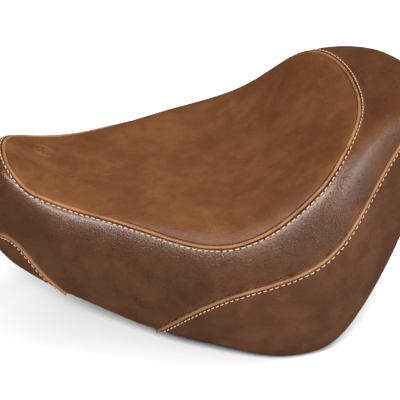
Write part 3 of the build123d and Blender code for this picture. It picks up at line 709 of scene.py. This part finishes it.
# ------------------------------------------------------------------ procedural finishes
class Finish:
    """A node material built step by step from object-space noise, lengths in metres and scales per metre."""

    def __init__(self, name):
        self.material = bpy.data.materials.new(name)
        self.material.use_nodes = True
        self.tree = self.material.node_tree
        self.shader = self.tree.nodes["Principled BSDF"]
        self.place = self.node("ShaderNodeTexCoord").outputs["Object"]

    def node(self, kind, **settings):
        made = self.tree.nodes.new(kind)
        for key, value in settings.items():
            setattr(made, key, value)
        return made

    def join(self, source, target):
        self.tree.links.new(source, target)

    def spread(self, scale, turn=(0, 0, 0)):
        made = self.node("ShaderNodeMapping")
        made.inputs["Scale"].default_value = scale
        made.inputs["Rotation"].default_value = turn
        self.join(self.place, made.inputs["Vector"])
        return made.outputs["Vector"]

    def noise(self, scale, detail=4.0, rough=0.55, distortion=0.0, vector=None):
        made = self.node("ShaderNodeTexNoise")
        made.inputs["Scale"].default_value = scale
        made.inputs["Detail"].default_value = detail
        made.inputs["Roughness"].default_value = rough
        made.inputs["Distortion"].default_value = distortion
        self.join(vector or self.place, made.inputs["Vector"])
        return made.outputs["Fac"]

    def cells(self, scale, feature="DISTANCE_TO_EDGE", vector=None):
        made = self.node("ShaderNodeTexVoronoi", feature=feature)
        made.inputs["Scale"].default_value = scale
        self.join(vector or self.place, made.inputs["Vector"])
        return made.outputs["Distance"]

    def span(self, value, low, high, to_low=0.0, to_high=1.0):
        made = self.node("ShaderNodeMapRange")
        made.inputs["From Min"].default_value = low
        made.inputs["From Max"].default_value = high
        made.inputs["To Min"].default_value = to_low
        made.inputs["To Max"].default_value = to_high
        self.join(value, made.inputs["Value"])
        return made.outputs["Result"]

    def math(self, operation, a, b=0.0):
        made = self.node("ShaderNodeMath", operation=operation)
        for socket, value in zip(made.inputs, (a, b)):
            if isinstance(value, (int, float)):
                socket.default_value = value
            else:
                self.join(value, socket)
        return made.outputs[0]

    def mix(self, factor, a, b):
        made = self.node("ShaderNodeMix", data_type="RGBA")
        for key, value in ((0, factor), (6, a), (7, b)):
            if isinstance(value, tuple):
                made.inputs[key].default_value = value + (1.0,)
            elif isinstance(value, float):
                made.inputs[key].default_value = value
            else:
                self.join(value, made.inputs[key])
        return made.outputs[2]

    def bump(self, height, distance, strength=1.0, under=None):
        made = self.node("ShaderNodeBump")
        made.inputs["Strength"].default_value = strength
        made.inputs["Distance"].default_value = distance
        self.join(height, made.inputs["Height"])
        if under:
            self.join(under, made.inputs["Normal"])
        return made.outputs["Normal"]

    def done(self, colour, rough, normal, **fixed):
        self.join(colour, self.shader.inputs["Base Color"])
        self.join(rough, self.shader.inputs["Roughness"])
        self.join(normal, self.shader.inputs["Normal"])
        for key, value in fixed.items():
            self.shader.inputs[key.replace("_", " ")].default_value = value
        return self.material


SCRATCHES = (
    ((26, 9, 20), (0.3, 0.2, 0.5)),
    ((10, 30, 16), (0.9, 0.4, 1.1)),
    ((52, 17, 30), (0.1, 1.2, 2.3)),
)


def leather(name, deep, middle, pale, gloss, scratch, **fixed):
    """Oiled brown leather whose colour pulls paler where it is stretched, rubbed or scratched."""
    f = Finish(name)
    # colour: three sizes of mottling, then rubbed edges
    broad = f.noise(11, 5, 0.55)
    cloudy = f.noise(42, 7, 0.62, 0.4)
    speck = f.noise(330, 5, 0.65)
    tone = f.math("ADD", f.math("MULTIPLY", broad, 0.45), f.math("MULTIPLY", cloudy, 0.38))
    tone = f.math("ADD", tone, f.math("MULTIPLY", speck, 0.17))
    colour = f.mix(f.span(tone, 0.30, 0.52), deep, middle)
    colour = f.mix(f.span(tone, 0.50, 0.78, 0.0, 0.6), colour, pale)
    worn = f.node("ShaderNodeAttribute", attribute_name="worn").outputs["Fac"]
    rubbed = f.math("MULTIPLY", worn, f.span(cloudy, 0.35, 0.7, 0.15, 0.75))
    colour = f.mix(rubbed, colour, pale)
    # long thin scratches in three directions, only in patches
    lines = None
    for scale, turn in SCRATCHES:
        thin = f.cells(1.0, vector=f.spread(scale, turn))
        thin = f.span(thin, 0.0, 0.009, 1.0, 0.0)
        lines = thin if lines is None else f.math("MAXIMUM", lines, thin)
    patch = f.span(f.noise(19, 3, 0.5), 0.52, 0.66)
    lines = f.math("MULTIPLY", f.math("MULTIPLY", lines, patch), f.span(f.noise(120, 3), 0.4, 0.6))
    colour = f.mix(f.math("MULTIPLY", lines, scratch), colour, pale)
    # relief: soft folds, drawn-out creases, pebble, grain and the scratches
    fold = f.noise(150, 6, 0.6, 0.8)
    drawn = f.noise(1.0, 4, 0.6, 1.6, f.spread((330, 120, 250), (0.3, 0.5, 0.9)))
    pebble = f.span(f.cells(340), 0.0, 0.3)
    grain = f.span(f.cells(1050), 0.0, 0.25)
    normal = f.bump(fold, 0.0008, 0.35)
    normal = f.bump(drawn, 0.0010, 0.45, normal)
    normal = f.bump(pebble, 0.00032, 0.55, normal)
    normal = f.bump(grain, 0.00012, 0.60, normal)
    normal = f.bump(f.math("MULTIPLY", lines, -scratch), 0.00006, 0.3, normal)
    wax = f.math("ADD", f.math("MULTIPLY", cloudy, 0.6), f.math("MULTIPLY", speck, 0.4))
    rough = f.span(wax, 0.3, 0.7, gloss - 0.06, gloss + 0.12)
    return f.done(colour, rough, normal, **fixed)


def hard(name, first, second, metal, low, high, scale, bump_distance, brushed=False):
    """Plain moulded, plated or rubber finish with fine mottling, scuffs and texture."""
    f = Finish(name)
    vector = f.spread((1, 14, 1)) if brushed else None
    cloud = f.noise(scale, 6, 0.6, 0.2)
    fine_noise = f.noise(scale * 14, 5, 0.6, vector=vector)
    colour = f.mix(f.span(cloud, 0.35, 0.68), first, second)
    edges = f.cells(scale * 1.4, vector=f.spread((1.0, 0.3, 0.6), (0.4, 0.7, 0.2)))
    scuff = f.math("MULTIPLY", f.span(edges, 0.0, 0.02, 1.0, 0.0), f.span(cloud, 0.5, 0.62))
    rough = f.math("ADD", f.span(fine_noise, 0.3, 0.7, low, high), f.math("MULTIPLY", scuff, 0.12))
    normal = f.bump(cloud, bump_distance * 2, 0.3)
    normal = f.bump(fine_noise, bump_distance, 0.5, normal)
    return f.done(colour, rough, normal, Metallic=metal)


def thread_finish():
    """Waxed cream thread with fine fibres and a little dye picked up from the leather."""
    f = Finish("waxed_thread")
    fibre = f.noise(2600, 4, 0.6)
    cloud = f.noise(90, 3)
    colour = f.mix(f.span(fibre, 0.35, 0.7), (0.48, 0.31, 0.17), (0.78, 0.58, 0.38))
    colour = f.mix(f.span(cloud, 0.4, 0.65, 0.0, 0.35), colour, (0.48, 0.28, 0.14))
    normal = f.bump(fibre, 0.00012, 0.6)
    return f.done(colour, f.span(fibre, 0.3, 0.7, 0.5, 0.75), normal)


def foam_finish():
    """Open-pored moulded foam."""
    f = Finish("moulded_foam")
    pores = f.cells(620, "F1")
    cloud = f.noise(24, 4)
    colour = f.mix(f.span(cloud, 0.35, 0.65), (0.58, 0.50, 0.34), (0.68, 0.61, 0.45))
    normal = f.bump(pores, 0.0005, 0.6)
    return f.done(colour, f.span(pores, 0.0, 0.7, 0.8, 0.95), normal)


# each leather: deep, middle and pale colour, roughness, strength of its scratches, shader values
insert_leather = leather(
    "insert_leather_worn", (0.074, 0.0245, 0.0068), (0.118, 0.0420, 0.0125), (0.220, 0.092, 0.035),
    0.44, 0.45, Specular_IOR_Level=0.36,
)
band_leather = leather(
    "band_leather_worn", (0.050, 0.0152, 0.0038), (0.074, 0.0242, 0.0062), (0.160, 0.060, 0.020),
    0.28, 0.30, Specular_IOR_Level=0.75, Coat_Weight=0.25, Coat_Roughness=0.25,
)
skirt_leather = leather(
    "skirt_leather_worn", (0.054, 0.0175, 0.0050), (0.084, 0.0285, 0.0086), (0.170, 0.068, 0.025),
    0.40, 0.35, Specular_IOR_Level=0.42,
)
ridge_leather = leather(
    "ridge_leather_worn", (0.13, 0.046, 0.015), (0.23, 0.090, 0.031), (0.36, 0.165, 0.068), 0.38, 0.2,
)
thread = thread_finish()
# near-black finish of the needle pits: painted shade in the holes
needle_hole_painted_shade = hard(
    "needle_hole_painted_shade", (0.010, 0.005, 0.0025), (0.022, 0.010, 0.005), 0.0, 0.75, 0.9, 300, 0.00005,
)
foam = foam_finish()
# two colours, metal or not, roughness from and to, scale of the mottling, depth of the texture
hardware = {
    "base_plastic": hard(
        "base_moulding", (0.012, 0.012, 0.013), (0.026, 0.026, 0.027), 0.0, 0.45, 0.62, 38, 0.00012,
    ),
    "strip_plastic": hard(
        "strip_moulding", (0.010, 0.010, 0.010), (0.020, 0.020, 0.021), 0.0, 0.38, 0.55, 52, 0.00008,
    ),
    "rivet_aluminium": hard(
        "rivet_metal", (0.60, 0.61, 0.62), (0.74, 0.75, 0.76), 1.0, 0.26, 0.42, 160, 0.00005,
    ),
    "brass": hard(
        "brass_metal", (0.56, 0.38, 0.13), (0.70, 0.50, 0.20), 1.0, 0.24, 0.40, 150, 0.00005,
    ),
    "zinc_steel": hard(
        "zinc_plated_steel", (0.42, 0.43, 0.43), (0.60, 0.60, 0.58), 1.0, 0.28, 0.46, 120, 0.00005, True,
    ),
    "rubber": hard(
        "black_rubber", (0.014, 0.014, 0.014), (0.030, 0.029, 0.028), 0.0, 0.62, 0.82, 80, 0.00012,
    ),
}

# ------------------------------------------------------------------ pieces that replace the soft CAD nodes
finishes = {
    "seat_insert_panel": insert_leather,
    "side_band_panel": band_leather,
    "rear_skirt_panel": skirt_leather,
    "nose_skirt_panel": skirt_leather,
}
cover_objects = {}
for node, cuts in panel_cuts.items():
    sheet = Sheet()
    index = cut_panel(sheet, cuts)
    fold_hem(sheet, index)
    if node == "seat_insert_panel":
        pressed_mark(sheet, (-201.0, 28.0, 204.0))
    cover_objects[node] = sheet.build(node.replace("_panel", "_cover"), finishes[node])

# (distance from the seam, height over the cover) across the ridge, from under the panel to the seam
RIDGE = (
    (-3.75, -2.4), (-3.62, -0.9), (-3.4, 0.0), (-3.0, 0.55), (-2.4, 0.85), (-1.7, 0.95),
    (-1.05, 0.9), (-0.6, 0.6), (-0.3, 0.1), (-0.12, -0.8), (-0.05, -2.8),
)
ridge_objects = {
    "insert_welt": ridge("insert_ridge", insert_seam, RIDGE, ridge_leather, 11),
    "rear_skirt_welt": ridge("rear_skirt_ridge", rear_line, RIDGE, ridge_leather, 12),
    "nose_skirt_welt": ridge("nose_skirt_ridge", nose_line, RIDGE, ridge_leather, 13),
}
# distance of each row of stitches from its seam: on the band, and on the skirts behind their ridge
BAND_ROW, SKIRT_ROW = 2.7, -5.9
stitch_objects = {
    "insert_topstitch": stitches("insert_stitches", insert_seam, BAND_ROW, -0.10, thread, 21),
    "rear_skirt_topstitch": stitches("rear_skirt_stitches", rear_line, SKIRT_ROW, -0.02, thread, 22),
    "nose_skirt_topstitch": stitches("nose_skirt_stitches", nose_line, SKIRT_ROW, -0.02, thread, 23),
}

# the foam keeps the CAD's shape, drawn in a little so that it stays inside the leather
foam_mesh = frame["nodes"]["foam_core"].data.copy()
foam_body = bpy.data.objects.new("foam_body", foam_mesh)
bpy.context.scene.collection.objects.link(foam_body)
foam_body.matrix_world = frame["nodes"]["foam_core"].matrix_world.copy()
remesh = foam_body.modifiers.new("even", "REMESH")
remesh.mode, remesh.voxel_size = "VOXEL", 0.0045
shrink = foam_body.modifiers.new("slack", "DISPLACE")
shrink.strength, shrink.mid_level = -0.0032, 0.0
soften = foam_body.modifiers.new("soften", "SMOOTH")
soften.factor, soften.iterations = 0.5, 3
bpy.context.view_layer.update()
evaluated = foam_body.evaluated_get(bpy.context.evaluated_depsgraph_get())
settled = bpy.data.meshes.new_from_object(evaluated)
foam_body.modifiers.clear()
foam_body.data = settled
settled.materials.clear()
settled.materials.append(foam)
settled.polygons.foreach_set("use_smooth", [True] * len(settled.polygons))

replacements = {**cover_objects, **ridge_objects, **stitch_objects, "foam_core": foam_body}
for node, obj in replacements.items():
    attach(obj, BODY)
    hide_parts(node)

# ------------------------------------------------------------------ CAD nodes that stay, with new finishes
keeps = {
    "base_plastic": ("baseplate",),
    "strip_plastic": ("hem_strip",),
    "rivet_aluminium": ("hem_rivets",),
    "brass": ("boss_inserts",),
    "zinc_steel": (
        "front_tongue", "tongue_washers", "tongue_bolts",
        "rear_tab", "rear_tab_washers", "rear_tab_bolts", "bumper_screws",
    ),
    "rubber": ("front_bumpers", "middle_bumpers", "rear_bumpers"),
}
for name, nodes in keeps.items():
    for node in nodes:
        for holder in frame["nodes"][node].material_slots:
            holder.material = hardware[name]

# ------------------------------------------------------------------ floor, light and camera, in metres
floor_mesh = bpy.data.meshes.new("studio_floor")
FLOOR_REACH = 6
corners = [(x * FLOOR_REACH, y * FLOOR_REACH, 0) for x, y in ((-1, -1), (1, -1), (1, 1), (-1, 1))]
floor_mesh.from_pydata(corners, [], [(0, 1, 2, 3)])
floor = bpy.data.objects.new("studio_floor", floor_mesh)
bpy.context.scene.collection.objects.link(floor)
floor.location.z = -0.0005
paper = Finish("studio_paper")
tint = paper.mix(paper.noise(3.0, 2), (0.90, 0.90, 0.90), (0.93, 0.93, 0.93))
paper_rough = paper.span(paper.noise(40), 0.0, 1.0, 0.7, 0.8)
paper_normal = paper.bump(paper.noise(900), 0.0001, 0.1)
floor_mesh.materials.append(paper.done(tint, paper_rough, paper_normal))
floor.visible_glossy = False  # otherwise its white glare washes the leather out


def softbox(name, place, aim, width, depth, watts):
    light = bpy.data.lights.new(name, "AREA")
    light.shape, light.size, light.size_y, light.energy = "RECTANGLE", width, depth, watts
    obj = bpy.data.objects.new(name, light)
    bpy.context.scene.collection.objects.link(obj)
    obj.location = place
    obj.rotation_mode = "QUATERNION"
    obj.rotation_quaternion = (Vector(aim) - Vector(place)).to_track_quat("-Z", "Y")
    return obj


softbox("left_front_strip", (-0.60, -1.06, 1.18), (-0.03, -0.12, 0.16), 1.6, 0.32, 34)
softbox("right_box", (1.20, -0.95, 0.45), (0.1, -0.1, 0.18), 0.8, 0.7, 12)
back_box = softbox("back_box", (0.12, 1.34, 1.10), (0.0, 0.0, 0.16), 1.5, 0.55, 7)
overhead_box = softbox("overhead_box", (0.95, 0.12, 1.45), (0.0, 0.05, 0.1), 1.3, 1.1, 36)
back_box.visible_glossy = False  # both fill in the tail without a gray glare on its coat
overhead_box.visible_glossy = False

world = bpy.data.worlds.new("white_studio")
bpy.context.scene.world = world
world.use_nodes = True
background = world.node_tree.nodes["Background"]
background.inputs["Color"].default_value = (1.0, 1.0, 1.0, 1.0)
background.inputs["Strength"].default_value = 0.07
bpy.context.scene.view_settings.view_transform = "Standard"

azimuth, elevation, roll = math.radians(-3.91), math.radians(31.91), math.radians(-2.70)
aim, camera_distance, focal_length = Vector((-0.01353, 0.0, 0.1318)), 1.6, 115.86
back = Vector((
    math.sin(azimuth) * math.cos(elevation),
    -math.cos(azimuth) * math.cos(elevation),
    math.sin(elevation),
))
level = Vector((math.cos(azimuth), math.sin(azimuth), 0.0))
upright = back.cross(level)
right = level * math.cos(roll) + upright * math.sin(roll)
up = upright * math.cos(roll) - level * math.sin(roll)
camera = bpy.data.objects.new("photo_camera", bpy.data.cameras.new("photo_camera"))
camera.data.sensor_width, camera.data.lens = 36.0, focal_length
camera.data.clip_start, camera.data.clip_end = 0.05, 20.0
turn = Matrix((right, up, back)).transposed().to_4x4()
camera.matrix_world = Matrix.Translation(aim + back * camera_distance) @ turn
bpy.context.scene.collection.objects.link(camera)
bpy.context.scene.camera = camera

bpy.context.view_layer.update()
